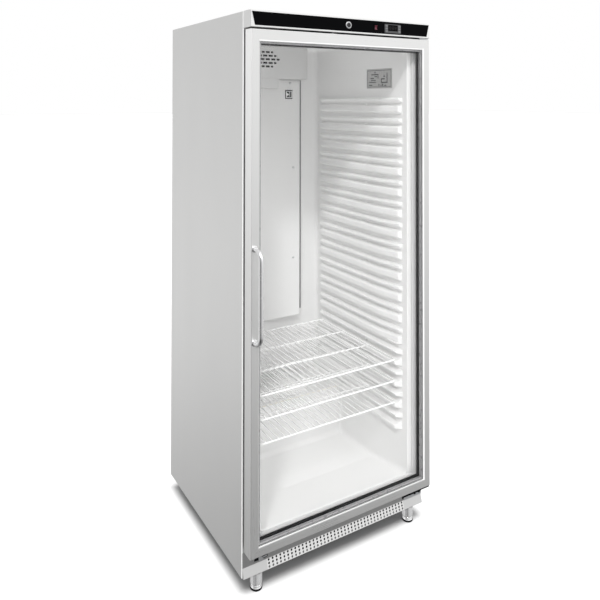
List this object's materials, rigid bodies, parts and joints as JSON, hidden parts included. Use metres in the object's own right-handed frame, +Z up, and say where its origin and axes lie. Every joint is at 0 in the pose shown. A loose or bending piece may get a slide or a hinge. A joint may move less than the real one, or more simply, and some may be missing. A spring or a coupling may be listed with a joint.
{
  "type": "proofing cabinet",
  "caption": "Upright insulated cabinet with a hinged glazed door, wire shelves on moulded ribs, a fan duct, a slim control panel and levelling feet.",
  "frame": {"origin": "on the floor plane, mid width, 280 mm behind the front plane of the body, so near the middle of the footprint", "axes": "+Z up, -Y towards the user at the door, +X to the user's right (the hinge side)"},
  "size_m": [0.77, 0.7626, 1.895],
  "materials": {
    "satin_steel": "satin grey",
    "galvanised": "galvanised sheet",
    "foam": "polyurethane foam",
    "white_abs": "white vacuum-formed",
    "white_duct": "white, fine texture",
    "black_gloss": "gloss black",
    "black_rubber": "matte",
    "chrome": "polished",
    "steel": "zinc plated",
    "aluminium": "mill finish",
    "grey_plastic": "matte",
    "light_key": "matte",
    "red_plastic": "gloss",
    "glass": "clear",
    "gasket": "soft grey",
    "coated_wire": "white coated wire",
    "label": "matte",
    "dark_enamel": "black enamel"
  },
  "bodies": {
    "cabinet": {"base_tray": "galvanised", "compressor": "dark_enamel", "condenser": "aluminium", "control_housing": "satin_steel", "controller_body": "grey_plastic", "controller_window": "black_gloss", "duct_cover": "white_duct", "duct_knob": "white_abs", "evaporator_coil": "aluminium", "fan_motor": "dark_enamel", "fan_shroud": "white_duct", "fascia_plate": "black_gloss", "foam_insulation": "foam", "heater_element": "steel", "hinge_bracket_bottom": "steel", "hinge_bracket_top": "steel", "inner_liner": "white_abs", "kick_panel": "satin_steel", "label_plate": "label", "leg_front_left": "chrome", "leg_front_right": "chrome", "leg_rear_left": "chrome", "leg_rear_right": "chrome", "lock_bezel": "chrome", "machine_cover": "galvanised", "outer_casing": "satin_steel", "probe_clip": "white_abs", "rear_panel": "galvanised", "rocker_socket": "dark_enamel", "spare_hinge_tab": "steel", "temperature_probe": "steel", "water_pan": "galvanised"},
    "door": {"door_frame": "satin_steel", "glass_outer": "glass", "glass_inner": "glass", "glazing_spacer": "aluminium", "glazing_seal": "black_rubber", "door_gasket": "gasket", "door_handle": "chrome", "lock_keeper": "steel", "hinge_washer": "white_abs"},
    "lock_cylinder": {"lock_barrel": "chrome"},
    "lock_slider": {"lock_bolt": "steel"},
    "rocker": {"rocker_switch": "red_plastic"},
    "fan": {"fan_blades": "dark_enamel"},
    "key_light_body": {"key_light": "light_key"},
    "key_defrost_body": {"key_defrost": "light_key"},
    "key_power_body": {"key_power": "light_key"},
    "key_up_body": {"key_up": "light_key"},
    "key_set_body": {"key_set": "light_key"},
    "key_down_body": {"key_down": "light_key"},
    "shelf_upper_body": {"shelf_upper": "coated_wire"},
    "shelf_middle_body": {"shelf_middle": "coated_wire"},
    "shelf_lower_body": {"shelf_lower": "coated_wire"},
    "foot_front_left_body": {"foot_front_left": "chrome"},
    "foot_front_right_body": {"foot_front_right": "chrome"},
    "foot_rear_left_body": {"foot_rear_left": "chrome"},
    "foot_rear_right_body": {"foot_rear_right": "chrome"}
  },
  "joints": [
    {"name": "door_hinge", "type": "hinge", "parent": "cabinet", "child": "door", "pos_m": [0.362, -0.315, 0.145], "axis": [0, 0, 1], "range_deg": [0, 115]},
    {"name": "lock_turn", "type": "hinge", "parent": "cabinet", "child": "lock_cylinder", "pos_m": [0, -0.32, 1.866], "axis": [0, -1, 0], "range_deg": [0, 90]},
    {"name": "lock_bolt_slide", "type": "slide", "parent": "cabinet", "child": "lock_slider", "axis": [0, 0, -1], "range_m": [0, 0.012]},
    {"name": "rocker_tilt", "type": "hinge", "parent": "cabinet", "child": "rocker", "pos_m": [0.123, -0.33, 1.866], "axis": [1, 0, 0], "range_deg": [-14, 0]},
    {"name": "fan_spin", "type": "hinge", "parent": "cabinet", "child": "fan", "pos_m": [0, 0.278, 1.772], "axis": [0, 1, 0], "continuous": true},
    {"name": "key_light_press", "type": "slide", "parent": "cabinet", "child": "key_light_body", "axis": [0, 1, 0], "range_m": [0, 0.0008], "stiffness_N_per_m": 40},
    {"name": "key_defrost_press", "type": "slide", "parent": "cabinet", "child": "key_defrost_body", "axis": [0, 1, 0], "range_m": [0, 0.0008], "stiffness_N_per_m": 40},
    {"name": "key_power_press", "type": "slide", "parent": "cabinet", "child": "key_power_body", "axis": [0, 1, 0], "range_m": [0, 0.0008], "stiffness_N_per_m": 40},
    {"name": "key_up_press", "type": "slide", "parent": "cabinet", "child": "key_up_body", "axis": [0, 1, 0], "range_m": [0, 0.0008], "stiffness_N_per_m": 40},
    {"name": "key_set_press", "type": "slide", "parent": "cabinet", "child": "key_set_body", "axis": [0, 1, 0], "range_m": [0, 0.0008], "stiffness_N_per_m": 40},
    {"name": "key_down_press", "type": "slide", "parent": "cabinet", "child": "key_down_body", "axis": [0, 1, 0], "range_m": [0, 0.0008], "stiffness_N_per_m": 40},
    {"name": "shelf_upper_slide", "type": "slide", "parent": "cabinet", "child": "shelf_upper_body", "axis": [0, -1, 0], "range_m": [0, 0.03]},
    {"name": "shelf_middle_slide", "type": "slide", "parent": "cabinet", "child": "shelf_middle_body", "axis": [0, -1, 0], "range_m": [0, 0.03]},
    {"name": "shelf_lower_slide", "type": "slide", "parent": "cabinet", "child": "shelf_lower_body", "axis": [0, -1, 0], "range_m": [0, 0.03]},
    {"name": "foot_front_left_turn", "type": "hinge", "parent": "cabinet", "child": "foot_front_left_body", "pos_m": [-0.327, -0.27, 0], "axis": [0, 0, 1], "range_deg": [0, 4320]},
    {"name": "foot_front_right_turn", "type": "hinge", "parent": "cabinet", "child": "foot_front_right_body", "pos_m": [0.327, -0.27, 0], "axis": [0, 0, 1], "range_deg": [0, 4320]},
    {"name": "foot_rear_left_turn", "type": "hinge", "parent": "cabinet", "child": "foot_rear_left_body", "pos_m": [-0.327, 0.351, 0], "axis": [0, 0, 1], "range_deg": [0, 4320]},
    {"name": "foot_rear_right_turn", "type": "hinge", "parent": "cabinet", "child": "foot_rear_right_body", "pos_m": [0.327, 0.351, 0], "axis": [0, 0, 1], "range_deg": [0, 4320]}
  ],
  "couplings": [
    {"joint": "lock_bolt_slide", "follows": "lock_turn", "m_per_rad": 0.00763}
  ]
}
